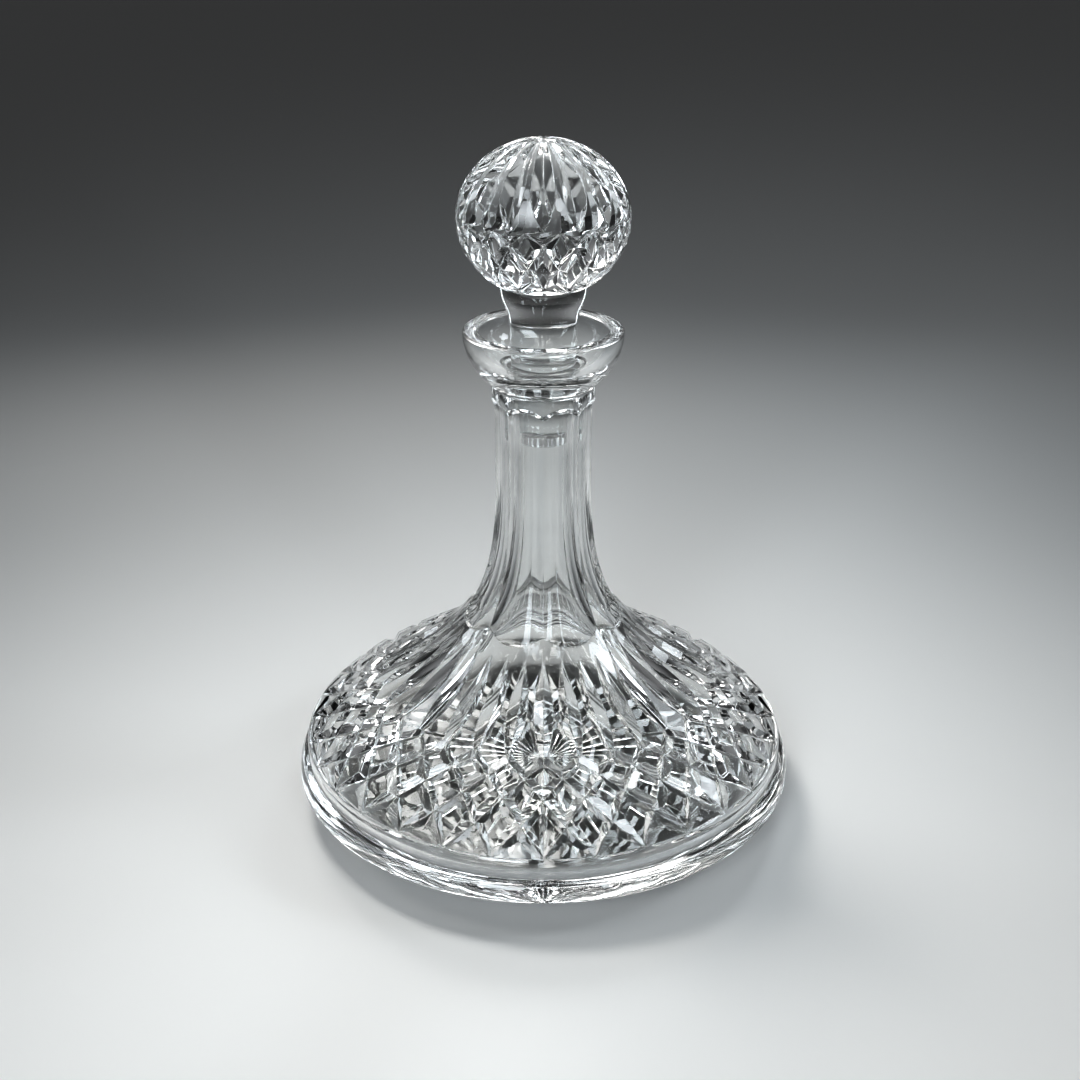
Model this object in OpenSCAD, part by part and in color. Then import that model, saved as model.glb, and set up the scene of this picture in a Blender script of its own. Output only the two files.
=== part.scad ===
// Ships decanter: a broad cut-glass vessel with a fluted neck, and its cut ball stopper.
// Sizes are in millimetres. +Z is up, and the origin is the middle of the foot, on the table.

/* [Foot] */
// Radius of the foot at its widest ring
foot_r = 96; // [88:0.5:106]
// Height of the widest ring above the table
foot_z = 13.5; // [10:0.5:17]
// Width of the curved underside, from the widest ring in to the flat ring it stands on
under_w = 26; // [22:0.5:30]
// Height of the rounded rim above the widest ring
rim_h = 6; // [4:0.25:8]
// How far the rounded rim comes in at its top
rim_lean = 2.4; // [1.8:0.1:4]
// Height of the fine line between the rim and the body
line_h = 1.3; // [0.8:0.1:2]
// Depth of the fine line
line_depth = 0.9; // [0.4:0.1:1.4]
// Width of the plain margin around the star cut, inside the ring it stands on
star_margin = 8; // [4:0.5:20]
// Radius of the star's hub, where the rays meet
star_hub = 5; // [3:0.5:8]

/* [Body] */
// How far the body's lower edge stands in from the widest ring
edge_inset = 4.5; // [3.6:0.1:7]
// Height of the plain wall under the cuts
wall_h = 7.5; // [5:0.25:10]
// How far the plain wall leans in over its height
wall_lean = 0.3; // [0.1:0.1:1]
// Rounding of the edge between the plain wall and the cuts
edge_round = 3.5; // [2:0.25:5]
// Slope of the body where the cuts begin, in degrees
edge_slope = 48; // [42:1:54]
// Length over which the body keeps that slope
edge_pull = 22; // [16:1:28]
// Height of the body from the edge up to the sweep of the neck
body_h = 37.7; // [32:0.5:44]
// Radius at which the body turns up into the neck
sweep_r = 40; // [36:0.5:46]
// Slope of the body at that turn, in degrees
sweep_slope = 43; // [38:1:48]
// Length over which the turn is prepared on the body's side
sweep_pull = 15; // [10:1:20]

/* [Neck and lip] */
// Radius of the neck over the edges between its flutes
neck_r = 17.6; // [16.5:0.1:19.5]
// Height of the sweep from the body into the neck
flare_h = 64; // [58:0.5:70]
// Length over which the sweep follows the body
flare_pull = 20; // [14:1:26]
// Length over which the sweep follows the neck
neck_pull = 38; // [30:1:44]
// Height of the straight neck, up to the tops of its flutes
neck_h = 34; // [29:0.5:40]
// How far the collar stands out from the edges between the flutes
collar_out = 1; // [0.5:0.1:2]
// Height of the plain collar between the flutes and the lip
collar_h = 4; // [2.5:0.25:7]
// Radius of the lip
lip_r = 28.5; // [26:0.25:32]
// Height of the bowl-shaped lip above the collar
lip_h = 19.5; // [17:0.25:23]
// Where the bowl's oval outside leaves the collar, in degrees from the oval's lowest point
lip_flare = 40; // [30:1:50]
// Width of the lip's rim
lip_w = 5.6; // [4:0.1:7]
// Rounding of the rim's edges
lip_round = 1.2; // [0.5:0.1:1.8]

/* [Hollow] */
// Thickness of the body's wall, from its uncut surface
wall_t = 7; // [5.5:0.1:8.5]
// Thickness of the floor at its edge
floor_t = 12; // [9:0.25:15]
// Rise of the floor in the middle
floor_rise = 1.5; // [0.5:0.25:3]
// Width of the rounded corner between floor and wall
corner_w = 14; // [8:0.5:20]
// Radius of the bore in the neck
bore_r = 10.5; // [9:0.1:11.5]
// Depth of the bowl in the lip, down to the mouth of the socket
bowl_depth = 13.5; // [11:0.25:16]
// Length of the ground socket
socket_h = 28; // [22:0.5:34]
// Growth of the socket's radius for each millimetre of height
socket_taper = 0.05; // [0.03:0.005:0.07]

/* [Cuts] */
// Number of cuts around the body and around the star
cuts = 32; // [24:8:40]
// Body cuts to each flute of the neck
flute_span = 4; // [4:4:8]
// Depth of a V cut for each millimetre of its half width
mitre = 0.62; // [0.4:0.02:0.8]
// Half width of the diamond grooves, as a part of one cut's pitch
groove_w = 0.25; // [0.18:0.01:0.33]
// Half width of the long wedge cuts, as a part of one cut's pitch
wedge_w = 0.38; // [0.3:0.01:0.42]
// Hollow of the neck's flutes, where 1 is a flat panel
flute_hollow = 1.2; // [1:0.05:1.4]

/* [Stopper] */
// Radius of the ball
ball_r = 30; // [27:0.25:34]
// Half height of the ball
ball_half = 26.7; // [24:0.25:31]
// Height of the shank, from the mouth of the socket to the ball
shank_h = 29.6; // [24:0.1:36]
// Radius of the shank where it meets the ball
shank_r = 15.6; // [14:0.1:16]
// Height of the curve by which the shank widens under the ball
shank_curve = 15.6; // [10:0.1:20]
// Length of the ground plug
plug_h = 27; // [20:0.5:28]
// Bevel on the end of the plug
plug_bevel = 1; // [0.5:0.1:2]
// Clearance between plug and socket, on the radius
fit_gap = 0.15; // [0.1:0.05:0.4]
// Number of cuts around the ball
ball_cuts = 16; // [12:4:24]
// Half width of the ball's leaf cuts, as a part of one cut's pitch
leaf_w = 0.39; // [0.3:0.01:0.42]

/* [Hidden] */
glass = [0.86, 0.91, 0.91, 0.55];
round_fn = 96;

// Heights of the vessel, from the table up
line_z = foot_z + rim_h;
wall_z = line_z + line_h;
edge_z = wall_z + wall_h;
sweep_z = edge_z + body_h;
flare_z = sweep_z + flare_h;
collar_z = flare_z + neck_h;
lip_z = collar_z + collar_h;
top_z = lip_z + lip_h;
mouth_z = top_z - bowl_depth;
socket_z = mouth_z - socket_h;

// Radii of the vessel
stand_r = foot_r - under_w;
star_r = stand_r - star_margin;
edge_r = foot_r - edge_inset;
collar_r = neck_r + collar_out;
rim_in_r = lip_r - lip_w;
mouth_r = bore_r + socket_h * socket_taper;

// Each pitch of a pattern has three columns of points: the cut's middle and its two edges
per_cut = 3;
body_cols = cuts * per_cut;
ball_cols = ball_cuts * per_cut;
flutes = cuts / flute_span;

// The diamond band takes this many half steps on the body and on the ball
band_steps = 4;
ball_steps = 3;
// Part of the body's slope that the diamond band covers, and how its rows crowd towards the top
band_end = 0.5;
band_crowd = 0.44;
// End of the wedge cuts, just past the turn, counted along the body and then the sweep
wedge_end = 1.15;
wedge_rows = 10;
// Half width left at the pointed end of a cut, and at the heel of a diamond, as a part of the pitch
tip_w = 0.05;
heel_w = 0.1;
// Half steps over which a groove runs out at its pointed end
groove_run = 0.8;
// Part of a crossing groove's spacing that lies square to the groove
groove_square = 0.8;
// Curve of the foot's underside: 1 is a straight cone
under_power = 1.6;
under_rows = 5;
rim_rows = 4;
star_rows = 3;
// How far the rays narrow towards their tips, in degrees of a cosine
star_fade = 70;
edge_rows = 3;
// A quarter turn, in degrees
quarter = 90;

// Lower end of the flutes on the sweep, its rounding, and the rows that follow it
flute_low = 1.235;
flute_arch = 0.085;
flute_rows = 9;
// How the rows crowd towards the lower end, and how fast rounding and depth run out there
flute_crowd = 1.5;
arch_fade = 3;
depth_fade = 5;
// Upper end of the flutes on the straight neck: middle of a flute, then its edge
flute_full = 2.8;
flute_top = 2.985;
flute_shoulder = 2.915;
// Depth left two thirds of the way up that end
flute_end = 0.6;
// Top of the cut skin, inside the collar, and the step between the two
neck_end = 3.02;
neck_sunk = 3.1;
seam = 0.05;

// Angle from the ball's top to its plain cap on the shank, in degrees
ball_cap = 147.5;
// Angles from the ball's top to the lower and upper ends of its diamond band, in degrees
ball_band_low = 140; // degrees
ball_band_high = 87; // degrees
// How the band's rows crowd towards its upper end
ball_band_power = 1.42;
// Angles from the ball's top to the tips and to the upper ends of its leaf cuts, in degrees
leaf_tip = 85; // degrees
leaf_top = 9; // degrees
leaf_rows = 8;
// Part of a leaf's length over which it widens from its tip
leaf_full = 0.36;
// How far the middle of the ball's top is sunk
apex_drop = 0.5;
// Height of the ball's plain cap and of its middle, and how far the shank reaches into it
cap_z = mouth_z + shank_h;
ball_z = cap_z - ball_half * cos(ball_cap);
shank_in = 4;
// Rows and step of the rounded edges of turned shapes
arc_rows = 10;
arc_step = quarter / arc_rows;

// A point on the curve with four control points, and the curve's direction there
function bend(p, t) = pow(1 - t, 3) * p[0] + 3 * t * pow(1 - t, 2) * p[1]
    + 3 * t * t * (1 - t) * p[2] + pow(t, 3) * p[3];
function bend_dir(p, t) = pow(1 - t, 2) * (p[1] - p[0]) + 2 * t * (1 - t) * (p[2] - p[1])
    + t * t * (p[3] - p[2]);

// A step of the given length along a slope that rises towards the axis
function uphill(slope, len) = len * [-cos(slope), sin(slope)];

// Outline of the uncut body (0 to 1), of the sweep (1 to 2) and of the straight neck (above 2)
edge_at = [edge_r, edge_z];
sweep_at = [sweep_r, sweep_z];
flare_at = [neck_r, flare_z];
body_curve = [
    edge_at,
    edge_at + uphill(edge_slope, edge_pull),
    sweep_at - uphill(sweep_slope, sweep_pull),
    sweep_at
];
flare_curve = [
    sweep_at,
    sweep_at + uphill(sweep_slope, flare_pull),
    flare_at - [0, neck_pull],
    flare_at
];
function outline(q) = q < 1 ? bend(body_curve, q)
    : q < 2 ? bend(flare_curve, q - 1)
    : [neck_r, flare_z + (q - 2) * neck_h];
function outline_dir(q) = q < 1 ? bend_dir(body_curve, q)
    : q < 2 ? bend_dir(flare_curve, q - 1)
    : [0, 1];

// The outline's point moved into the glass, square to the outline
function sunk(q, depth) =
    let (d = outline_dir(q))
    outline(q) - depth * [d[1], -d[0]] / norm(d);

// A point of a ring; share counts pitches of the pattern, from the front
function spot(at, share, n) =
    [at[0] * sin(share * 360 / n), -at[0] * cos(share * 360 / n), at[1]];

// Place of a column in its pattern when a cut's edges lie w from the cut's middle
function column(c, w) = floor(c / per_cut) + [0, w, 1 - w][c % per_cut];
function even(c) = c / per_cut;
function is_cut(c) = c % per_cut == 0;
function pitch(r, n) = 2 * PI * r / n;
function swell(f) = sin(2 * quarter * f);

// Depth of a V cut of half width w at radius r
function cut_depth(r, w, n) = mitre * w * pitch(r, n);

// Diamond band: column c of row k lies on two crossing families of grooves. They narrow and run out
// to a point at the band's lower end, and at its upper end too where both is true.
function groove_half(c, k, steps, both) =
    let (last = per_cut * steps)
    k == 0 || (both && k == last) ? tip_w
    : (k == 2 && c % per_cut == 2) || (both && k == last - 2 && c % per_cut == 1) ? heel_w
    : groove_w;
function cross_share(c, k, w) = (column(c, w) + column(c + k, w)) / 2;
function cross_step(c, k, w) = column(c + k, w) - column(c, w);
function groove_depth(c, k, t, r, n, steps, both) =
    is_cut(c) || is_cut(c + k)
        ? groove_square * cut_depth(r, groove_w, n)
            * min(1, t / groove_run, both ? (steps - t) / groove_run : 1)
        : 0;
function crowded(x) = x * (1 + band_crowd * (1 - x));

// Rows of the star under the foot
function star_row(i) =
    let (f = i / star_rows, r = star_hub + (star_r - star_hub) * f)
    let (w = i == star_rows ? tip_w : wedge_w * cos(star_fade * f))
    [for (c = [0 : body_cols - 1])
        spot([r, is_cut(c) && i < star_rows ? cut_depth(r, w, cuts) : 0], column(c, w), cuts)];

// Rings of the foot, from the stand up to the rounded edge under the cuts
edge_mid = edge_at - edge_round * [sin(edge_slope), cos(edge_slope)];
wall_r = edge_mid[0] + edge_round;
foot_rings = concat(
    [for (i = [0 : under_rows])
        let (f = i / under_rows)
        [stand_r + under_w * f, foot_z * pow(f, under_power)]],
    [for (i = [1 : rim_rows])
        let (a = quarter * i / rim_rows)
        [foot_r - rim_lean * (1 - cos(a)), foot_z + rim_h * sin(a)]],
    [[wall_r + wall_lean - line_depth, line_z + line_h / 2]],
    [[wall_r + wall_lean, wall_z]],
    [for (i = [0 : edge_rows - 1])
        let (a = (quarter - edge_slope) * i / edge_rows)
        edge_mid + edge_round * [cos(a), sin(a)]]
);
function foot_row(at) = [for (c = [0 : body_cols - 1]) spot(at, even(c), cuts)];

// Rows of the body's diamond band
function band_row(k) =
    [for (c = [0 : body_cols - 1])
        let (w = groove_half(c, k, band_steps, false))
        let (t = cross_step(c, k, w))
        let (q = band_end * crowded(t / band_steps))
        let (depth = groove_depth(c, k, t, outline(q)[0], cuts, band_steps, false))
        spot(sunk(q, depth), cross_share(c, k, w), cuts)];

// Rows of the long wedge cuts
function wedge_row(i) =
    let (f = i / wedge_rows, q = band_end + (wedge_end - band_end) * f)
    let (w = tip_w + (wedge_w - tip_w) * swell(f))
    [for (c = [0 : body_cols - 1])
        let (depth = is_cut(c) && i < wedge_rows ? cut_depth(outline(q)[0], w, cuts) : 0)
        spot(sunk(q, depth), column(c, w) + band_steps / 2, cuts)];

// Rows of the fluted neck: q in the middle of a flute, its change at the edges, how deep it is, and
// how far the row stands out
function flute_row(q_mid, lift, fullness, out) =
    [for (c = [0 : body_cols - 1])
        let (share = even(c) + band_steps / 2)
        let (turn = share / flute_span)
        let (e = pow(1 - 2 * (turn - floor(turn)), 2))
        let (q = q_mid + lift * e)
        let (panel = outline(q)[0] * (1 - cos(180 / flutes)))
        spot(sunk(q, flute_hollow * panel * fullness * (1 - e)) + [out, 0], share, cuts)];
function flute_low_row(i) =
    let (f = i / flute_rows)
    let (q = flute_low + (2 - flute_low) * pow(f, flute_crowd))
    flute_row(q, flute_arch * pow(1 - f, arch_fade), 1 - pow(1 - f, depth_fade), 0);

vessel_rows = concat(
    [for (i = [0 : star_rows]) star_row(i)],
    [for (at = foot_rings) foot_row(at)],
    [for (k = [0 : per_cut * band_steps]) band_row(k)],
    [for (i = [1 : wedge_rows]) wedge_row(i)],
    [for (i = [0 : flute_rows]) flute_low_row(i)],
    [flute_row(flute_full, 0, 1, 0)],
    [flute_row((flute_full + 2 * flute_top) / 3, flute_shoulder - flute_top, flute_end, 0)],
    [flute_row(flute_top, flute_shoulder - flute_top, 0, collar_out - seam)],
    [flute_row(neck_end, 0, 0, collar_out - seam)],
    [flute_row(neck_sunk, 0, 0, 0)]
);
vessel_band = star_rows + 1 + len(foot_rings);

// Rows of the ball: cap, diamond band and leaf cuts
function ball_at(a, depth) =
    let (n = [sin(a) / ball_r, cos(a) / ball_half])
    [ball_r * sin(a), ball_z + ball_half * cos(a)] - depth * n / norm(n);
function ball_band_row(k) =
    [for (c = [0 : ball_cols - 1])
        let (w = groove_half(c, k, ball_steps, true))
        let (t = cross_step(c, k, w))
        let (f = pow(max(1 - t / ball_steps, 0), ball_band_power))
        let (a = ball_band_high + (ball_band_low - ball_band_high) * f)
        let (depth = groove_depth(c, k, t, ball_r * sin(a), ball_cuts, ball_steps, true))
        spot(ball_at(a, depth), cross_share(c, k, w), ball_cuts)];
function leaf_row(i) =
    let (f = i / leaf_rows, a = leaf_tip + (leaf_top - leaf_tip) * f)
    let (w = tip_w + (leaf_w - tip_w) * sin(quarter * min(1, f / leaf_full)))
    [for (c = [0 : ball_cols - 1])
        let (depth = is_cut(c) && i > 0 ? cut_depth(ball_r * sin(a), w, ball_cuts) : 0)
        spot(ball_at(a, depth), column(c, w) + (ball_steps + 1) / 2, ball_cuts)];

ball_rows = concat(
    [[for (c = [0 : ball_cols - 1]) spot(ball_at(ball_cap, 0), even(c), ball_cuts)]],
    [[for (c = [0 : ball_cols - 1])
        spot(ball_at((ball_cap + ball_band_low) / 2, 0), even(c), ball_cuts)]],
    [for (k = [0 : per_cut * ball_steps]) ball_band_row(k)],
    [for (i = [0 : leaf_rows]) leaf_row(i)]
);
ball_band = 2;

// Closed skin over rows of points, from a point under the first row to a point over the last.
// Where two grooves cross, the edge between the two triangles runs up the diamond and not across it.
module cut_skin(rows, n, band_first, steps, low, high) {
    top = 1 + len(rows) * n;
    function v(i, c) = 1 + i * n + c % n;
    function upright(c, k) = k > 0 && k < per_cut * steps
        && ((is_cut(c) && k % per_cut == 2) || (c % per_cut == 2 && k % per_cut == 1));
    function patch(i, c, k) = concat(
        upright(c, k)
            ? [[v(i, c), v(i + 1, c), v(i - 1, c + 1)], [v(i + 1, c), v(i, c + 1), v(i - 1, c + 1)]]
            : [[v(i, c), v(i + 1, c), v(i, c + 1)]],
        upright(c, k + 1) ? [] : [[v(i, c + 1), v(i + 1, c), v(i + 1, c + 1)]]
    );
    polyhedron(
        points = concat([low], [for (row = rows) each row], [high]),
        faces = concat(
            [for (c = [0 : n - 1]) [0, v(0, c), v(0, c + 1)]],
            [for (i = [0 : len(rows) - 2]) for (c = [0 : n - 1]) each patch(i, c, i - band_first)],
            [for (c = [0 : n - 1]) [top, v(len(rows) - 1, c + 1), v(len(rows) - 1, c)]]
        )
    );
}

// An arc of an oval between two angles, about a middle, with its two reaches
function oval(mid, reach, from, to) =
    [for (i = [0 : arc_rows])
        let (a = from + (to - from) * i / arc_rows)
        mid + [reach[0] * sin(a), reach[1] * cos(a)]];

// Collar and lip, before they are hollowed
module lip_blank() {
    rim_z = top_z - lip_round;
    oval_r = (collar_r - lip_r * sin(lip_flare)) / (1 - sin(lip_flare));
    oval_h = (rim_z - lip_z) / cos(lip_flare);
    rotate_extrude($fn = round_fn)
        polygon(concat(
            [[0, collar_z], [collar_r, collar_z]],
            oval([oval_r, rim_z], [lip_r - oval_r, -oval_h], lip_flare, quarter),
            oval([lip_r - lip_round, rim_z], [lip_round, lip_round], quarter - arc_step, 0),
            [[0, top_z]]
        ));
}

// The hollow: chamber, bore, ground socket and the bowl of the lip
module hollow() {
    floor_r = sunk(0, wall_t)[0];
    floor_z = sunk(0, wall_t)[1];
    rim_z = top_z - lip_round;
    over = lip_h;
    chamber = [for (i = [0 : 2 * arc_rows]) let (at = sunk(i / arc_rows, wall_t)) if (at[0] > bore_r) at];
    rotate_extrude($fn = round_fn)
        polygon(concat(
            [[0, floor_t + floor_rise]],
            [for (i = [1 : arc_rows])
                let (f = i / arc_rows)
                [(floor_r - corner_w) * f, floor_t + floor_rise * (1 - f * f)]],
            oval([floor_r - corner_w, floor_z], [corner_w, floor_t - floor_z], arc_step, quarter - arc_step),
            chamber,
            [[bore_r, flare_z], [bore_r, socket_z], [mouth_r, mouth_z]],
            oval([mouth_r, rim_z], [rim_in_r - mouth_r, mouth_z - rim_z], arc_step, quarter),
            oval([rim_in_r + lip_round, rim_z], [-lip_round, lip_round], quarter - arc_step, 0),
            [[rim_in_r + lip_round, top_z + over], [0, top_z + over]]
        ));
}

module decanter_body() {
    color(glass)
    difference() {
        union() {
            cut_skin(
                vessel_rows, body_cols, vessel_band, band_steps,
                [0, 0, cut_depth(star_hub, wedge_w, cuts)],
                [0, 0, outline(neck_sunk)[1]]
            );
            lip_blank();
        }
        hollow();
    }
}

// Shank and ground plug, with the shank's top sunk in the ball
module shank() {
    plug_r = mouth_r - fit_gap;
    end_r = plug_r - plug_h * socket_taper;
    curve_z = cap_z - shank_curve;
    rotate_extrude($fn = round_fn)
        polygon(concat(
            [[0, mouth_z - plug_h], [end_r - plug_bevel, mouth_z - plug_h]],
            [[end_r + plug_bevel * socket_taper, mouth_z - plug_h + plug_bevel]],
            [[plug_r, mouth_z]],
            [for (i = [0 : arc_rows])
                let (f = i / arc_rows)
                [plug_r + (shank_r - plug_r) * (1 - cos(180 * f)) / 2, curve_z + shank_curve * f]],
            [[shank_r - shank_in / 2, cap_z + shank_in], [0, cap_z + shank_in]]
        ));
}

module stopper() {
    color(glass)
    union() {
        cut_skin(
            ball_rows, ball_cols, ball_band, ball_steps,
            [0, 0, cap_z],
            [0, 0, ball_z + ball_half - apex_drop]
        );
        shank();
    }
}

decanter_body();
stopper();
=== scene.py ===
"""Ships decanter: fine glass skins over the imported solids, a pale floor, soft light and the camera."""
import math

import bpy
import numpy as np
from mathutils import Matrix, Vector


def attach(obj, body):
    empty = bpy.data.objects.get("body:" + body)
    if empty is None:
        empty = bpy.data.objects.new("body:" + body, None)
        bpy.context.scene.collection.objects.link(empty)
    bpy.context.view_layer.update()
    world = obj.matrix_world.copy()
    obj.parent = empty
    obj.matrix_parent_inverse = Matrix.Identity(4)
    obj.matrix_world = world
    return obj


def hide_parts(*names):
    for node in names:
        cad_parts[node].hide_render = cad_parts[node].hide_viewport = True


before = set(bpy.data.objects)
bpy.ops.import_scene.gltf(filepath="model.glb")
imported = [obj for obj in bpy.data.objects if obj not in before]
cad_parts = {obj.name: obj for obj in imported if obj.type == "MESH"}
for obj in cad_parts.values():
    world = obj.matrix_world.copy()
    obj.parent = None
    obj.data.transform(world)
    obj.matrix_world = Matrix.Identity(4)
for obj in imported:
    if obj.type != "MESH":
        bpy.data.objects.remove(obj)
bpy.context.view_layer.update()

# A millimetre in metres, and turns in degrees
MM = 0.001
QUARTER = 90.0
HALF_TURN = 180.0
FULL_TURN = 360.0

# Foot, in millimetres, as are all sizes of the glass: its widest place lies at FOOT_Z, and the underside
# curves in from there to the ring that it stands on
FOOT_R = 96.0
FOOT_Z = 13.5
UNDER_W = 26.0
UNDER_POWER = 1.6
RIM_H = 6.0
RIM_LEAN = 2.4
LINE_H = 1.3
LINE_DEPTH = 0.9
STAR_MARGIN = 8.0
STAR_HUB = 5.0

# Body: slopes are in degrees, and a pull is how far a curve follows the slope at its end
EDGE_INSET = 4.5
WALL_H = 7.5
WALL_LEAN = 0.3
EDGE_ROUND = 3.5
EDGE_SLOPE = 48.0
EDGE_PULL = 22.0
BODY_H = 37.7
SWEEP_R = 40.0
SWEEP_SLOPE = 43.0
SWEEP_PULL = 15.0

# Neck and lip
NECK_R = 17.6
FLARE_H = 64.0
FLARE_PULL = 20.0
NECK_PULL = 38.0
NECK_H = 34.0
COLLAR_OUT = 1.0
COLLAR_H = 4.0
COLLAR_FILLET = 1.5
LIP_R = 28.5
LIP_H = 19.5
LIP_W = 5.6
LIP_ROUND = 1.2
LIP_FLARE = 40.0

# Hollow
WALL_T = 7.0
FLOOR_T = 12.0
FLOOR_RISE = 1.5
CORNER_W = 14.0
BORE_R = 10.5
BOWL_DEPTH = 13.5
SOCKET_H = 28.0
SOCKET_TAPER = 0.05

# Columns of points that a cut takes: its valley, the edge after it, and the edge before the next cut
VALLEY = 0
NEAR_EDGE = 1
FAR_EDGE = 2
PER_CUT = 3

# Cuts: half widths are parts of the pitch, and a valley is MITRE times its half width deep
CUTS = 32
MITRE = 0.62
GROOVE_W = 0.25
WEDGE_W = 0.38
TIP_W = 0.05

# Crossed grooves: a slanted groove is narrower square to its run, and deepens over GROOVE_RUN pitches;
# near a pointed end it is narrow at the heel
GROOVE_SQUARE = 0.8
GROOVE_RUN = 0.8
HEEL_W = 0.1
HEEL_ROW = 2

# Places along the outline, where the body is 0 to 1, the sweep 1 to 2 and the neck 2 to 3
BODY_END = 1.0
SWEEP_END = 2.0
BAND_END = 0.5
WEDGE_END = 1.15
FLUTE_LOW = 1.235
FLUTE_FULL = 2.8
FLUTE_SHOULDER = 2.915
FLUTE_TOP = 2.985

# Diamond band: pitches by which its two sets of grooves part, from its low end to its top, and how much
# its rows crowd near the top
BAND_STEPS = 4
BAND_CROWD = 0.44

# Flutes: cuts that each spans, its depth where 1 is about a flat panel, the rise of its arched low end
# along the outline, and the powers that shape that end
FLUTE_SPAN = 4
FLUTE_HOLLOW = 1.2
FLUTE_ARCH = 0.085
FLUTE_CROWD = 1.5
ARCH_FADE = 3
DEPTH_FADE = 5

# Upper end of a flute: where in its last stretch it turns steep, and the part of its depth left there
FLUTE_STEEP = 2 / 3
FLUTE_END = 0.6

# Stopper, with angles on its ball in degrees from the top
BALL_R = 30.0
BALL_HALF = 26.7
SHANK_H = 29.6
SHANK_R = 15.6
SHANK_CURVE = 15.6
PLUG_H = 27.0
PLUG_BEVEL = 1.0
FIT_GAP = 0.15
BALL_CUTS = 16
BALL_STEPS = 3
BALL_CAP = 147.5
BALL_BAND_LOW = 140.0
BALL_BAND_HIGH = 87.0
BALL_BAND_POWER = 1.42
LEAF_W = 0.39
LEAF_TIP = 85.0
LEAF_TOP = 9.0
LEAF_FULL = 0.36
APEX_DROP = 0.5

# Hand cutting: how far a cut strays from its place, as a part of its pitch, and the seed of each set
STRAY = 0.018
STAR_SEED = 11
BAND_SEED_A = 12
BAND_SEED_B = 13
BALL_SEED_A = 14
BALL_SEED_B = 15
LEAF_SEED = 16

# Rows of points along each stretch, and how far an arc stops short of the next row, in degrees
STAR_ROWS = 13
UNDER_ROWS = 13
RIM_ROWS = 13
PLAIN_ROWS = 7
EDGE_ROWS = 9
WEDGE_ROWS = 21
FLUTE_ROWS = 25
LIP_ROWS = 22
FILLET_ROWS = 6
ROUND_ROWS = 6
SOCKET_ROWS = 8
WALL_ROWS = 60
CORNER_ROWS = 12
FLOOR_ROWS = 10
SHANK_ROWS = 18
LEAF_ROWS = 19
ROUND_STEP = 15.0
ARC_STEP = 5.0

# Polish of the cut edges: the least angle of such an edge in degrees, the width of the polish and how
# near the axis it stops in metres, and its steps
SHARP_ANGLE = 13.0
EDGE_POLISH = 0.00022
EDGE_CLEAR = 0.006
POLISH_STEPS = 2

# Heights and radii that follow
LINE_Z = FOOT_Z + RIM_H
WALL_Z = LINE_Z + LINE_H
EDGE_R = FOOT_R - EDGE_INSET
EDGE_Z = WALL_Z + WALL_H
SWEEP_Z = EDGE_Z + BODY_H
FLARE_Z = SWEEP_Z + FLARE_H
COLLAR_Z = FLARE_Z + NECK_H
LIP_Z = COLLAR_Z + COLLAR_H
TOP_Z = LIP_Z + LIP_H
RIM_Z = TOP_Z - LIP_ROUND
MOUTH_Z = TOP_Z - BOWL_DEPTH
SOCKET_Z = MOUTH_Z - SOCKET_H
STAND_R = FOOT_R - UNDER_W
STAR_R = STAND_R - STAR_MARGIN
COLLAR_R = NECK_R + COLLAR_OUT
RIM_IN_R = LIP_R - LIP_W
MOUTH_R = BORE_R + SOCKET_H * SOCKET_TAPER
CAP_Z = MOUTH_Z + SHANK_H
BALL_Z = CAP_Z - BALL_HALF * math.cos(math.radians(BALL_CAP))

# Counts that follow, and the turn of what lies above a diamond band, in pitches
COLS = CUTS * PER_CUT
BALL_COLS = BALL_CUTS * PER_CUT
FLUTES = CUTS // FLUTE_SPAN
UPPER_TWIST = BAND_STEPS / 2
LEAF_TWIST = (BALL_STEPS + 1) / 2

# Glass: tint, refraction, waves of the blown metal and grain of the polish, with heights in metres
GLASS_TINT = (0.985, 0.995, 0.992)
GLASS_IOR = 1.545
WAVE = 0.03
WAVE_SCALE = 45.0
WAVE_DETAIL = 1.0
WAVE_HEIGHT = 0.001
GRAIN_SCALE = 900.0
GRAIN_DETAIL = 3.0
GRAIN_HEIGHT = 0.0002
GRAIN_RANGE = (0.35, 0.75)

# Finishes: least and most roughness, and strength of the grain
POLISHED_ROUGHNESS = (0.0, 0.02)
POLISHED_GRAIN = 0.01
GROUND_ROUGHNESS = (0.01, 0.06)
GROUND_GRAIN = 0.05

# Shadows: the turn of the glass away from the light, edge on and facing it, and the light that passes at each
EDGE_ON_TO_FACING = (0.75, 0.05)
OUTER_SHADE = (0.05, 0.6)
HOLLOW_SHADE = (0.0, 0.12)

# Material numbers on the skins
CLEAR_SLOT = 0
GROUND_SLOT = 1
HOLLOW_SLOT = 2

# Floor that the decanter stands on, in metres
STAGE_HALF = 6.0
STAGE_DROP = 0.0003
STAGE_COLOR = (0.72, 0.72, 0.71)
STAGE_ROUGHNESS = 0.7
STAGE_SHINE = 0.1

# Camera: the photograph's width, focal length and the axis of the decanter in it, in pixels; its place in
# metres, its downward tilt in degrees, and its sensor in millimetres
PHOTO = 1080
FOCAL_PX = 1469.0
AXIS_PX = 543.4
CAM_BACK = 0.4974
CAM_UP = 0.338
CAM_DOWN = 25.05
CAM_NEAR = 0.01
SENSOR_W = 36.0

# Points that the lamps aim at, and their colours
POOL = (0, -0.2, 0.02)
BELOW = (0, 0, -0.05)
MIDDLE = (0, 0, 0.1)
HIGH = (0, 0, 0.15)
WHITE = (1.0, 0.99, 0.97)
COOL = (0.88, 0.95, 1.0)

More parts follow.
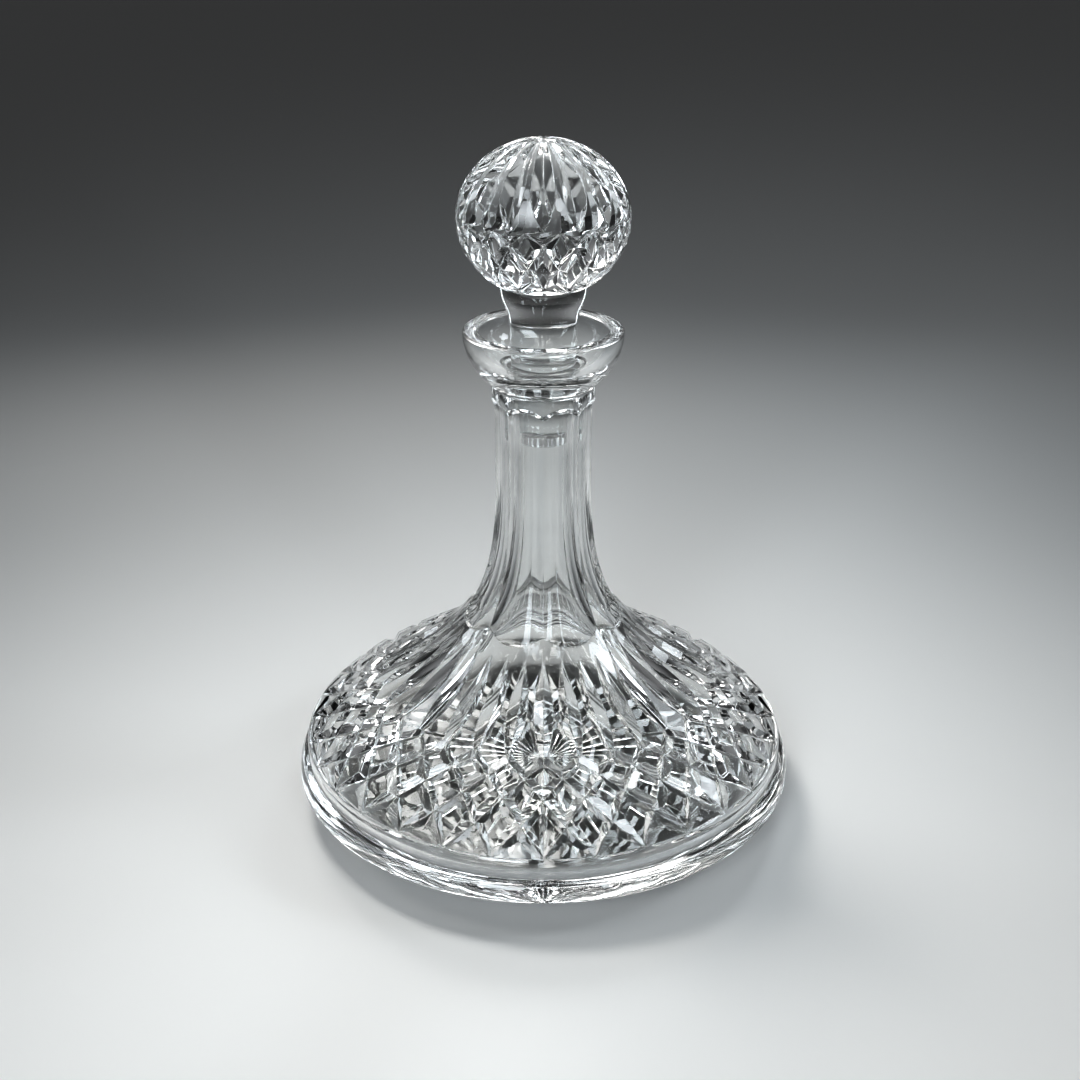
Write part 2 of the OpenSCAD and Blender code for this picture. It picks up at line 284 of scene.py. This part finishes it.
# Soft studio lamps, in metres and watts: name, place, aim, size, power, spread in degrees and colour
LAMPS = [
    ("key", (-0.35, 0.3, 0.95), POOL, (0.25, 0.25), 0.45, 46, WHITE),
    ("back_left", (-0.3, 0.85, 0.65), BELOW, (0.45, 0.5), 0.3, 33, WHITE),
    ("back_right", (0.35, 0.85, 0.65), BELOW, (0.25, 0.5), 0.15, 33, COOL),
    ("left_strip", (-0.85, 0.4, 0.55), HIGH, (0.07, 0.9), 0.3, 90, COOL),
    ("right_strip", (0.85, 0.4, 0.55), HIGH, (0.07, 0.9), 0.3, 90, COOL),
    ("side", (0.9, 0.0, 0.7), MIDDLE, (0.3, 0.25), 0.2, 45, COOL),
    ("front_left", (-0.25, -0.8, 0.5), HIGH, (0.3, 0.7), 0.9, 60, COOL),
    ("front_right", (0.4, -0.85, 0.5), HIGH, (0.07, 1.0), 0.5, 90, COOL),
]

# Glow of the dark room: heights above the horizon, where 1 is straight up, with their levels, and its tint
GLOW = [(0.0, 0.01), (0.1, 0.02), (0.28, 0.2), (0.5, 0.02)]
GLOW_TINT = (1.0, 1.02, 1.05)

# Walls of glass that light may cross, mirrorings that it may take, and blur of one that follows a blurred one
WALLS_CROSSED = 24
MIRRORINGS = 8
MIRROR_BLUR = 0.2


def sind(a):
    return np.sin(np.radians(a))


def cosd(a):
    return np.cos(np.radians(a))


def uphill(slope, length):
    """A step along a slope that rises towards the axis."""
    return length * np.array([-cosd(slope), sind(slope)])


def bend(p, t):
    """Points of the cubic curve with the control points p."""
    t = np.asarray(t, float)[..., None]
    return (1 - t) ** 3 * p[0] + 3 * t * (1 - t) ** 2 * p[1] + 3 * t * t * (1 - t) * p[2] + t ** 3 * p[3]


def bend_dir(p, t):
    """Directions of that curve."""
    t = np.asarray(t, float)[..., None]
    return (1 - t) ** 2 * (p[1] - p[0]) + 2 * t * (1 - t) * (p[2] - p[1]) + t * t * (p[3] - p[2])


# Control points of the outline's two curves, as radius and height
EDGE_AT = np.array([EDGE_R, EDGE_Z])
EDGE_MID = EDGE_AT - EDGE_ROUND * np.array([sind(EDGE_SLOPE), cosd(EDGE_SLOPE)])
WALL_R = EDGE_MID[0] + EDGE_ROUND
SWEEP_AT = np.array([SWEEP_R, SWEEP_Z])
FLARE_AT = np.array([NECK_R, FLARE_Z])
BODY_CURVE = [
    EDGE_AT,
    EDGE_AT + uphill(EDGE_SLOPE, EDGE_PULL),
    SWEEP_AT - uphill(SWEEP_SLOPE, SWEEP_PULL),
    SWEEP_AT,
]
FLARE_CURVE = [
    SWEEP_AT,
    SWEEP_AT + uphill(SWEEP_SLOPE, FLARE_PULL),
    FLARE_AT - np.array([0, NECK_PULL]),
    FLARE_AT,
]


def along(q, body, sweep, neck):
    """The value for each place q along the outline: that of the body, the sweep or the neck."""
    q = q[..., None]
    return np.where(q < BODY_END, body, np.where(q < SWEEP_END, sweep, neck))


def outline(q):
    """Radius and height of the uncut glass."""
    q = np.asarray(q, float)
    neck = np.stack([np.full_like(q, NECK_R), FLARE_Z + (q - SWEEP_END) * NECK_H], axis=-1)
    return along(q, bend(BODY_CURVE, q), bend(FLARE_CURVE, q - BODY_END), neck)


def outline_out(q):
    """Unit normal of the outline, pointing out of the glass."""
    q = np.asarray(q, float)
    up = np.array([0.0, 1.0])
    d = along(q, bend_dir(BODY_CURVE, q), bend_dir(FLARE_CURVE, q - BODY_END), up)
    n = np.stack([d[..., 1], -d[..., 0]], axis=-1)
    return n / np.linalg.norm(n, axis=-1, keepdims=True)


def sunk(q, depth):
    """The outline's points moved into the glass."""
    return outline(q) - np.asarray(depth, float)[..., None] * outline_out(q)


def spots(at, share, n):
    """Points of a row: at holds radii and heights, and share counts pitches of n around from the front."""
    a = share * FULL_TURN / n
    return np.stack([at[..., 0] * sind(a), -at[..., 0] * cosd(a), at[..., 1]], axis=-1)


def stray(n, seed):
    """How far each of n cuts lies from its place, in pitches."""
    return np.random.RandomState(seed).uniform(-STRAY, STRAY, n)


def column(c, w, drift):
    """Place of columns c in pitches, where a cut's edges lie w from its valley and drift moves each cut."""
    cut = c // PER_CUT
    kind = c % PER_CUT
    nearest = np.where(kind == FAR_EDGE, cut + 1, cut) % len(drift)
    past = np.where(kind == VALLEY, 0.0, np.where(kind == NEAR_EDGE, w, 1 - w))
    return cut + past + drift[nearest]


def cut_depth(r, w, n):
    """Depth of a cut with half width w at radius r, where n cuts go round."""
    return MITRE * w * 2 * math.pi * r / n


def groove_depth(r, n):
    return GROOVE_SQUARE * cut_depth(r, GROOVE_W, n)


def groove_half(c, k, steps, both):
    """Half width of the grooves in row k: they narrow to a point at the band's pointed ends."""
    last = PER_CUT * steps
    if k == 0 or (both and k == last):
        return np.full(len(c), TIP_W)
    heel = (k == HEEL_ROW) & (c % PER_CUT == FAR_EDGE)
    if both:
        heel = heel | ((k == last - HEEL_ROW) & (c % PER_CUT == NEAR_EDGE))
    return np.where(heel, HEEL_W, GROOVE_W)


def crossing(c, k, steps, both, drift_a, drift_b):
    """Place and step of columns c in row k of a diamond band, and how full their grooves are.

    Two sets of grooves cross there. The step is how far the second set lies ahead of the first, in pitches.
    """
    w = groove_half(c, k, steps, both)
    a = column(c, w, drift_a)
    b = column(c + k, w, drift_b)
    step = b - a
    full = np.minimum(1, step / GROOVE_RUN)
    if both:
        full = np.minimum(full, (steps - step) / GROOVE_RUN)
    grooved = (c % PER_CUT == VALLEY) | ((c + k) % PER_CUT == VALLEY)
    return (a + b) / 2, step, np.where(grooved, np.maximum(full, 0), 0)


def oval(mid, reach, start, stop, steps):
    """Points on an arc of an oval, whose angles count from straight up."""
    a = np.linspace(start, stop, steps)
    return np.stack([mid[0] + reach[0] * sind(a), mid[1] + reach[1] * cosd(a)], axis=-1)


def ramp(first, last, steps):
    """Points on a straight line."""
    f = np.linspace(0, 1, steps)[:, None]
    return np.asarray(first, float) * (1 - f) + np.asarray(last, float) * f


def turned(rings, n, twist=0.0):
    """Plain rows of n columns for a list of rings."""
    share = np.arange(n) / PER_CUT + twist
    return [spots(np.broadcast_to(np.array(at), (n, 2)), share, n / PER_CUT) for at in rings]


def star_rows():
    """Star cut of the underside, from its hub outwards."""
    c = np.arange(COLS)
    drift = stray(CUTS, STAR_SEED)
    rows = []
    for f in np.linspace(0, 1, STAR_ROWS):
        r = STAR_HUB + (STAR_R - STAR_HUB) * f
        w = TIP_W + (WEDGE_W - TIP_W) * cosd(QUARTER * f)
        z = np.where(c % PER_CUT == VALLEY, cut_depth(r, w, CUTS) * (f < 1), 0.0)
        rows.append(spots(np.stack([np.full(COLS, r), z], -1), column(c, w, drift), CUTS))
    return rows


def foot_rows():
    """Underside outside the star, rim, fine line, plain wall and its rounded edge."""
    f = np.linspace(0, 1, UNDER_ROWS)
    under = np.stack([STAND_R + UNDER_W * f, FOOT_Z * f ** UNDER_POWER], -1)
    rim = oval((FOOT_R - RIM_LEAN, FOOT_Z), (RIM_LEAN, RIM_H), QUARTER, 0, RIM_ROWS)[1:]
    line = np.array([[WALL_R + WALL_LEAN - LINE_DEPTH, LINE_Z + LINE_H / 2]])
    wall = ramp((WALL_R + WALL_LEAN, WALL_Z), (WALL_R, EDGE_MID[1]), PLAIN_ROWS)[:-1]
    edge = oval(EDGE_MID, (EDGE_ROUND, EDGE_ROUND), QUARTER, EDGE_SLOPE, EDGE_ROWS)[:-1]
    return turned(np.concatenate([under, rim, line, wall, edge]), COLS)


def band_rows():
    """Diamond band of the body, from its pointed ends upwards."""
    c = np.arange(COLS)
    drift_a = stray(CUTS, BAND_SEED_A)
    drift_b = stray(CUTS, BAND_SEED_B)
    rows = []
    for k in range(PER_CUT * BAND_STEPS + 1):
        share, step, full = crossing(c, k, BAND_STEPS, False, drift_a, drift_b)
        x = step / BAND_STEPS
        q = BAND_END * x * (1 + BAND_CROWD * (1 - x))
        rows.append(spots(sunk(q, full * groove_depth(outline(q)[:, 0], CUTS)), share, CUTS))
    return rows


def wedge_rows():
    """Long wedge cuts above the band; they take over its grooves and lose their stray on the way up."""
    c = np.arange(COLS)
    drift = (stray(CUTS, BAND_SEED_A) + np.roll(stray(CUTS, BAND_SEED_B), -BAND_STEPS)) / 2
    rows = []
    for f in np.linspace(0, 1, WEDGE_ROWS)[1:]:
        q = np.full(COLS, BAND_END + (WEDGE_END - BAND_END) * f)
        w = TIP_W + (WEDGE_W - TIP_W) * sind(HALF_TURN * f)
        depth = np.where(c % PER_CUT == VALLEY, cut_depth(outline(q)[:, 0], w, CUTS) * (f < 1), 0.0)
        share = column(c, w, drift * (1 - f)) + UPPER_TWIST
        rows.append(spots(sunk(q, depth), share, CUTS))
    return rows


def flute_row(q_mid, lift, fullness, out):
    """A row of all flutes: lift raises it at their ridges, and out moves it away from the axis."""
    share = np.arange(COLS) / PER_CUT + UPPER_TWIST
    ridge = (1 - 2 * (share / FLUTE_SPAN % 1.0)) ** 2
    q = q_mid + lift * ridge
    panel = outline(q)[:, 0] * (1 - cosd(HALF_TURN / FLUTES))
    at = sunk(q, FLUTE_HOLLOW * panel * fullness * (1 - ridge)) + np.array([out, 0])
    return spots(at, share, CUTS)


def flute_rows():
    """Flutes: the scooped low ends and the sweep, the straight neck, and the upper ends at the collar."""
    rows = []
    for f in np.linspace(0, 1, FLUTE_ROWS):
        q = FLUTE_LOW + (SWEEP_END - FLUTE_LOW) * f ** FLUTE_CROWD
        rows.append(flute_row(q, FLUTE_ARCH * (1 - f) ** ARCH_FADE, 1 - (1 - f) ** DEPTH_FADE, 0))
    for q in np.linspace(SWEEP_END, FLUTE_FULL, PLAIN_ROWS)[1:]:
        rows.append(flute_row(q, 0, 1, 0))
    for f in np.linspace(0, 1, PLAIN_ROWS)[1:]:
        q = FLUTE_FULL + (FLUTE_TOP - FLUTE_FULL) * f
        near = min(1, f / FLUTE_STEEP)
        rise = max(0, f - FLUTE_STEEP) / (1 - FLUTE_STEEP)
        full = (1 - (1 - FLUTE_END) * near ** 2) * (1 - rise)
        rows.append(flute_row(q, (FLUTE_SHOULDER - FLUTE_TOP) * near, full, COLLAR_OUT * rise))
    return rows


def lip_rings():
    """Collar, outside of the bowl and rim."""
    s = sind(LIP_FLARE)
    mid_r = (COLLAR_R - LIP_R * s) / (1 - s)
    reach_z = (LIP_Z - RIM_Z) / cosd(LIP_FLARE)
    outside = oval((mid_r, RIM_Z), (LIP_R - mid_r, reach_z), LIP_FLARE, QUARTER, LIP_ROWS)
    low = np.array([COLLAR_R, LIP_Z - COLLAR_FILLET])
    f = np.linspace(0, 1, FILLET_ROWS)[:, None]
    fillet = (1 - f) ** 2 * low + 2 * f * (1 - f) * outside[0] + f * f * outside[1]
    rim = oval((LIP_R - LIP_ROUND, RIM_Z), (LIP_ROUND, LIP_ROUND), QUARTER - ROUND_STEP, 0, ROUND_ROWS)
    return np.concatenate([[[COLLAR_R, COLLAR_Z]], fillet, outside[2:], rim])


def bowl_rings():
    """Rim and inside of the bowl, down to the mouth of the socket."""
    return np.concatenate([
        oval((RIM_IN_R + LIP_ROUND, RIM_Z), (-LIP_ROUND, LIP_ROUND), 0, QUARTER - ROUND_STEP, ROUND_ROWS),
        oval((MOUTH_R, RIM_Z), (RIM_IN_R - MOUTH_R, MOUTH_Z - RIM_Z), QUARTER, ARC_STEP, LIP_ROWS),
    ])


def chamber_rings():
    """Bore, sweep and chamber, down to the floor's middle."""
    inside = sunk(np.linspace(SWEEP_END, 0, WALL_ROWS), np.full(WALL_ROWS, WALL_T))
    walls = [p for p in inside if p[0] > BORE_R]
    corner_r, corner_z = walls[-1]
    floor_r = corner_r - CORNER_W
    corner = oval(
        (floor_r, corner_z), (CORNER_W, FLOOR_T - corner_z), QUARTER - ARC_STEP, ARC_STEP, CORNER_ROWS
    )
    f = np.linspace(1, 0, FLOOR_ROWS)[1:-1]
    floor = np.stack([floor_r * f, FLOOR_T + FLOOR_RISE * (1 - f * f)], -1)
    bore = ramp((BORE_R, SOCKET_Z), (BORE_R, walls[0][1]), PLAIN_ROWS)[1:-1]
    return np.concatenate([bore, walls, corner, floor])


def ball_at(a, depth):
    """Points of the ball at angle a from its top, moved into the glass."""
    n = np.stack([sind(a) / BALL_R, cosd(a) / BALL_HALF], -1)
    n = n / np.linalg.norm(n, axis=-1, keepdims=True)
    at = np.stack([BALL_R * sind(a), BALL_Z + BALL_HALF * cosd(a)], -1)
    return at - np.asarray(depth, float)[..., None] * n


def ball_band_rows():
    """Diamond band of the ball, pointed at both ends."""
    c = np.arange(BALL_COLS)
    drift_a = stray(BALL_CUTS, BALL_SEED_A)
    drift_b = stray(BALL_CUTS, BALL_SEED_B)
    rows = []
    for k in range(PER_CUT * BALL_STEPS + 1):
        share, step, full = crossing(c, k, BALL_STEPS, True, drift_a, drift_b)
        f = np.maximum(1 - step / BALL_STEPS, 0)
        a = BALL_BAND_HIGH + (BALL_BAND_LOW - BALL_BAND_HIGH) * f ** BALL_BAND_POWER
        rows.append(spots(ball_at(a, full * groove_depth(BALL_R * sind(a), BALL_CUTS)), share, BALL_CUTS))
    return rows


def leaf_rows():
    """Leaf cuts of the ball, from their tips up to its top."""
    c = np.arange(BALL_COLS)
    drift = stray(BALL_CUTS, LEAF_SEED)
    rows = []
    for f in np.linspace(0, 1, LEAF_ROWS):
        a = np.full(BALL_COLS, LEAF_TIP + (LEAF_TOP - LEAF_TIP) * f)
        w = TIP_W + (LEAF_W - TIP_W) * sind(QUARTER * min(1, f / LEAF_FULL))
        depth = np.where(c % PER_CUT == VALLEY, cut_depth(BALL_R * sind(a), w, BALL_CUTS) * (f > 0), 0.0)
        rows.append(spots(ball_at(a, depth), column(c, w, drift) + LEAF_TWIST, BALL_CUTS))
    return rows


def shank_rings():
    """Bevelled end of the plug, the plug, and the shank with the underside of the ball."""
    plug_r = MOUTH_R - FIT_GAP
    plug_z = MOUTH_Z - PLUG_H
    end_r = plug_r - PLUG_H * SOCKET_TAPER
    end = np.array([[end_r - PLUG_BEVEL, plug_z]])
    plug = ramp((end_r, plug_z + PLUG_BEVEL), (plug_r, MOUTH_Z), SOCKET_ROWS)
    curve_z = CAP_Z - SHANK_CURVE
    straight = ramp((plug_r, MOUTH_Z), (plug_r, curve_z), PLAIN_ROWS)[1:]
    f = np.linspace(0, 1, SHANK_ROWS)[1:]
    curve_r = plug_r + (SHANK_R - plug_r) * (1 - cosd(HALF_TURN * f)) / 2
    curve = np.stack([curve_r, curve_z + SHANK_CURVE * f], -1)
    under = np.linspace(BALL_CAP, BALL_BAND_LOW, PLAIN_ROWS)[:-1]
    return end, plug, np.concatenate([straight, curve, ball_at(under, 0 * under)])


def upright(c, k, steps):
    """Whether the faces at column c stand on end in row k of a band, beside a valley that crosses an edge."""
    kinds = {c % PER_CUT, (c + k) % PER_CUT}
    return 0 < k < PER_CUT * steps and kinds == {VALLEY, FAR_EDGE}


def skin_faces(count, n, band_first, steps):
    """Rows of faces over count rows of n points, with a fan to a middle point at each end.

    From row band_first on, the faces of a diamond band are triangles that follow its grooves.
    """
    def v(i, c):
        return 1 + i * n + c % n

    last = count - 1
    top = 1 + count * n
    rows = [[(0, v(0, c + 1), v(0, c)) for c in range(n)]]
    for i in range(last):
        k = i - band_first
        row = []
        for c in range(n):
            if not 0 <= k < PER_CUT * steps:
                row.append((v(i, c), v(i, c + 1), v(i + 1, c + 1), v(i + 1, c)))
                continue
            if upright(c, k, steps):
                row.append((v(i, c), v(i - 1, c + 1), v(i + 1, c)))
                row.append((v(i + 1, c), v(i - 1, c + 1), v(i, c + 1)))
            else:
                row.append((v(i, c), v(i, c + 1), v(i + 1, c)))
            if not upright(c, k + 1, steps):
                row.append((v(i, c + 1), v(i + 1, c + 1), v(i + 1, c)))
        rows.append(row)
    rows.append([(top, v(last, c), v(last, c + 1)) for c in range(n)])
    return rows


def put(obj):
    """Put an object into the scene."""
    bpy.context.scene.collection.objects.link(obj)
    return obj


def skin(name, rows, low, high, band_first, steps, finish):
    """A closed skin over rows of points; finish holds the material number of each row of faces."""
    verts = np.concatenate([[low], np.concatenate(rows), [high]]) * MM
    face_rows = skin_faces(len(rows), len(rows[0]), band_first, steps)
    mesh = bpy.data.meshes.new(name)
    mesh.from_pydata([tuple(p) for p in verts], [], [face for row in face_rows for face in row])
    mesh.validate()
    slots = [slot for slot, row in zip(finish, face_rows) for face in row]
    mesh.polygons.foreach_set("material_index", slots)
    mesh.shade_smooth()
    mesh.set_sharp_from_angle(angle=math.radians(SHARP_ANGLE))
    obj = put(bpy.data.objects.new(name, mesh))
    soften_edges(obj)
    return obj


def soften_edges(obj):
    """Round the polished edges of the cuts a little, away from the axis, where they crowd."""
    mesh = obj.data
    place = np.empty(3 * len(mesh.vertices))
    mesh.vertices.foreach_get("co", place)
    radius = np.hypot(place[0::3], place[1::3])
    ends = np.empty(2 * len(mesh.edges), int)
    mesh.edges.foreach_get("vertices", ends)
    sharp = np.empty(len(mesh.edges), bool)
    mesh.attributes["sharp_edge"].data.foreach_get("value", sharp)
    rounded = sharp & (radius[ends[0::2]] > EDGE_CLEAR) & (radius[ends[1::2]] > EDGE_CLEAR)
    weight = mesh.attributes.new("bevel_weight_edge", "FLOAT", "EDGE")
    weight.data.foreach_set("value", rounded.astype(float))
    mesh.attributes["sharp_edge"].data.foreach_set("value", sharp & ~rounded)
    bevel = obj.modifiers.new("polish", "BEVEL")
    bevel.limit_method = "WEIGHT"
    bevel.offset_type = "OFFSET"
    bevel.width = EDGE_POLISH
    bevel.segments = POLISH_STEPS
    bevel.use_clamp_overlap = False
    normals = obj.modifiers.new("flats", "WEIGHTED_NORMAL")
    normals.mode = "FACE_AREA"
    normals.keep_sharp = True


def noise_node(nodes, scale, detail):
    node = nodes.new("ShaderNodeTexNoise")
    node.inputs["Scale"].default_value = scale
    node.inputs["Detail"].default_value = detail
    return node


def range_node(nodes, taken, given):
    node = nodes.new("ShaderNodeMapRange")
    node.inputs["From Min"].default_value, node.inputs["From Max"].default_value = taken
    node.inputs["To Min"].default_value, node.inputs["To Max"].default_value = given
    return node


def bump_node(nodes, strength, height):
    node = nodes.new("ShaderNodeBump")
    node.inputs["Strength"].default_value = strength
    node.inputs["Distance"].default_value = height
    return node


def glass_surface(tree, roughness, grain):
    """Clear lead glass with faint waves of the blown metal and a fine grain of polish."""
    nodes, links = tree.nodes, tree.links
    bsdf = nodes["Principled BSDF"]
    bsdf.inputs["Base Color"].default_value = (*GLASS_TINT, 1)
    bsdf.inputs["IOR"].default_value = GLASS_IOR
    bsdf.inputs["Transmission Weight"].default_value = 1.0
    coords = nodes.new("ShaderNodeTexCoord")
    waves = noise_node(nodes, WAVE_SCALE, WAVE_DETAIL)
    polish = noise_node(nodes, GRAIN_SCALE, GRAIN_DETAIL)
    for texture in (waves, polish):
        links.new(coords.outputs["Object"], texture.inputs["Vector"])
    gloss = range_node(nodes, GRAIN_RANGE, roughness)
    links.new(polish.outputs["Fac"], gloss.inputs["Value"])
    links.new(gloss.outputs["Result"], bsdf.inputs["Roughness"])
    swell = bump_node(nodes, WAVE, WAVE_HEIGHT)
    fine = bump_node(nodes, grain, GRAIN_HEIGHT)
    links.new(waves.outputs["Fac"], swell.inputs["Height"])
    links.new(polish.outputs["Fac"], fine.inputs["Height"])
    links.new(swell.outputs["Normal"], fine.inputs["Normal"])
    links.new(fine.outputs["Normal"], bsdf.inputs["Normal"])
    return bsdf


def glass_shadow(tree, shade):
    """What shadows see: glass that faces the light lets shade[1] of it pass, and glass edge on shade[0]."""
    nodes, links = tree.nodes, tree.links
    facing = nodes.new("ShaderNodeLayerWeight")
    pane = range_node(nodes, EDGE_ON_TO_FACING, shade)
    pane.interpolation_type = "SMOOTHSTEP"
    passed = nodes.new("ShaderNodeBsdfTransparent")
    links.new(facing.outputs["Facing"], pane.inputs["Value"])
    links.new(pane.outputs["Result"], passed.inputs["Color"])
    return passed


def glass_material(name, roughness, grain, shade):
    """Glass whose shadow lets light pass, because the bent light that would fill it is not traced."""
    mat = bpy.data.materials.new(name)
    mat.use_nodes = True
    nodes, links = mat.node_tree.nodes, mat.node_tree.links
    surface = glass_surface(mat.node_tree, roughness, grain)
    shadow = glass_shadow(mat.node_tree, shade)
    path = nodes.new("ShaderNodeLightPath")
    mix = nodes.new("ShaderNodeMixShader")
    choice, first, second = mix.inputs
    links.new(path.outputs["Is Shadow Ray"], choice)
    links.new(surface.outputs["BSDF"], first)
    links.new(shadow.outputs["BSDF"], second)
    links.new(mix.outputs["Shader"], nodes["Material Output"].inputs["Surface"])
    return mat


def matt_material(name, color, roughness, shine):
    mat = bpy.data.materials.new(name)
    mat.use_nodes = True
    bsdf = mat.node_tree.nodes["Principled BSDF"]
    bsdf.inputs["Base Color"].default_value = (*color, 1)
    bsdf.inputs["Roughness"].default_value = roughness
    bsdf.inputs["Specular IOR Level"].default_value = shine
    return mat


def make_vessel(clear, ground, hollow):
    """Outside from the star up to the rim, then down the inside to the middle of the chamber's floor."""
    star = star_rows()
    foot = foot_rows()
    lip = turned(lip_rings(), COLS, UPPER_TWIST)
    outer = star + foot + band_rows() + wedge_rows() + flute_rows() + lip
    bowl = turned(bowl_rings(), COLS, UPPER_TWIST)
    socket = turned(ramp((MOUTH_R, MOUTH_Z), (BORE_R, SOCKET_Z), SOCKET_ROWS), COLS, UPPER_TWIST)
    chamber = turned(chamber_rings(), COLS, UPPER_TWIST)
    rows = outer + bowl + socket + chamber
    low = (0, 0, cut_depth(STAR_HUB, WEDGE_W, CUTS))
    high = (0, 0, FLOOR_T + FLOOR_RISE)
    finish = [CLEAR_SLOT] * (1 + len(outer) + len(bowl))
    finish += [GROUND_SLOT] * (len(socket) - 1)
    finish += [HOLLOW_SLOT] * (len(chamber) + 1)
    obj = skin("vessel_glass", rows, low, high, len(star) + len(foot), BAND_STEPS, finish)
    for material in (clear, ground, hollow):
        obj.data.materials.append(material)
    return obj


def make_stopper(clear, ground):
    """Plug, shank and ball, from the plug's end upwards."""
    end, plug, shank = shank_rings()
    plain = turned(np.concatenate([end, plug, shank]), BALL_COLS)
    ball = ball_band_rows() + leaf_rows()
    low = (0, 0, MOUTH_Z - PLUG_H)
    high = (0, 0, BALL_Z + BALL_HALF - APEX_DROP)
    finish = [CLEAR_SLOT] * (1 + len(end))
    finish += [GROUND_SLOT] * (len(plug) - 1)
    finish += [CLEAR_SLOT] * (len(shank) + len(ball) + 1)
    obj = skin("stopper_glass", plain + ball, low, high, len(plain), BALL_STEPS, finish)
    for material in (clear, ground):
        obj.data.materials.append(material)
    return obj


def make_floor():
    """A pale floor, a little below the foot, because air lies between the two."""
    corners = [(-1, -1), (1, -1), (1, 1), (-1, 1)]
    points = [(x * STAGE_HALF, y * STAGE_HALF, -STAGE_DROP) for x, y in corners]
    mesh = bpy.data.meshes.new("floor")
    mesh.from_pydata(points, [], [range(len(corners))])
    mesh.materials.append(matt_material("pale_floor", STAGE_COLOR, STAGE_ROUGHNESS, STAGE_SHINE))
    return put(bpy.data.objects.new("floor", mesh))


def make_camera():
    """A camera at the photograph's viewing angle."""
    data = bpy.data.cameras.new("camera")
    data.sensor_width = SENSOR_W
    data.lens = FOCAL_PX / PHOTO * SENSOR_W
    data.shift_x = (PHOTO / 2 - AXIS_PX) / PHOTO
    data.clip_start = CAM_NEAR
    obj = put(bpy.data.objects.new("camera", data))
    obj.location = (0, -CAM_BACK, CAM_UP)
    obj.rotation_euler = (math.radians(QUARTER - CAM_DOWN), 0, 0)
    return obj


def area_light(name, place, aim, size, power, spread, color):
    data = bpy.data.lights.new(name, "AREA")
    data.shape = "RECTANGLE"
    data.size, data.size_y = size
    data.energy = power
    data.spread = math.radians(spread)
    data.color = color
    obj = put(bpy.data.objects.new(name, data))
    obj.location = place
    obj.rotation_euler = (Vector(aim) - Vector(place)).to_track_quat("-Z", "Y").to_euler()


def studio_world():
    """A dark room with a faint glow above the horizon."""
    world = bpy.data.worlds.new("studio")
    world.use_nodes = True
    nodes, links = world.node_tree.nodes, world.node_tree.links
    direction = nodes.new("ShaderNodeTexCoord")
    split = nodes.new("ShaderNodeSeparateXYZ")
    glow = nodes.new("ShaderNodeValToRGB")
    glow.color_ramp.interpolation = "EASE"
    stops = glow.color_ramp.elements
    while len(stops) < len(GLOW):
        stops.new(stops[-1].position)
    for stop, (height, level) in zip(stops, GLOW):
        stop.position = height
        stop.color = (*(level * c for c in GLOW_TINT), 1)
    links.new(direction.outputs["Generated"], split.inputs["Vector"])
    links.new(split.outputs["Z"], glow.inputs["Fac"])
    links.new(glow.outputs["Color"], nodes["Background"].inputs["Color"])
    return world


def trace_glass(cycles):
    """Let light cross many walls of glass."""
    cycles.max_bounces = WALLS_CROSSED
    cycles.transmission_bounces = WALLS_CROSSED
    cycles.transparent_max_bounces = WALLS_CROSSED
    cycles.glossy_bounces = MIRRORINGS
    cycles.blur_glossy = MIRROR_BLUR
    cycles.caustics_refractive = False


clear_glass = glass_material("clear_crystal", POLISHED_ROUGHNESS, POLISHED_GRAIN, OUTER_SHADE)
ground_glass = glass_material("ground_crystal", GROUND_ROUGHNESS, GROUND_GRAIN, OUTER_SHADE)
hollow_glass = glass_material("hollow_crystal", POLISHED_ROUGHNESS, POLISHED_GRAIN, HOLLOW_SHADE)

vessel = make_vessel(clear_glass, ground_glass, hollow_glass)
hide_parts("decanter_body")
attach(vessel, "vessel")

stopper = make_stopper(clear_glass, ground_glass)
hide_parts("stopper")
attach(stopper, "stopper")

floor = make_floor()

scene = bpy.context.scene
scene.camera = make_camera()
for lamp in LAMPS:
    area_light(*lamp)
scene.world = studio_world()
scene.view_settings.view_transform = "Standard"
trace_glass(scene.cycles)
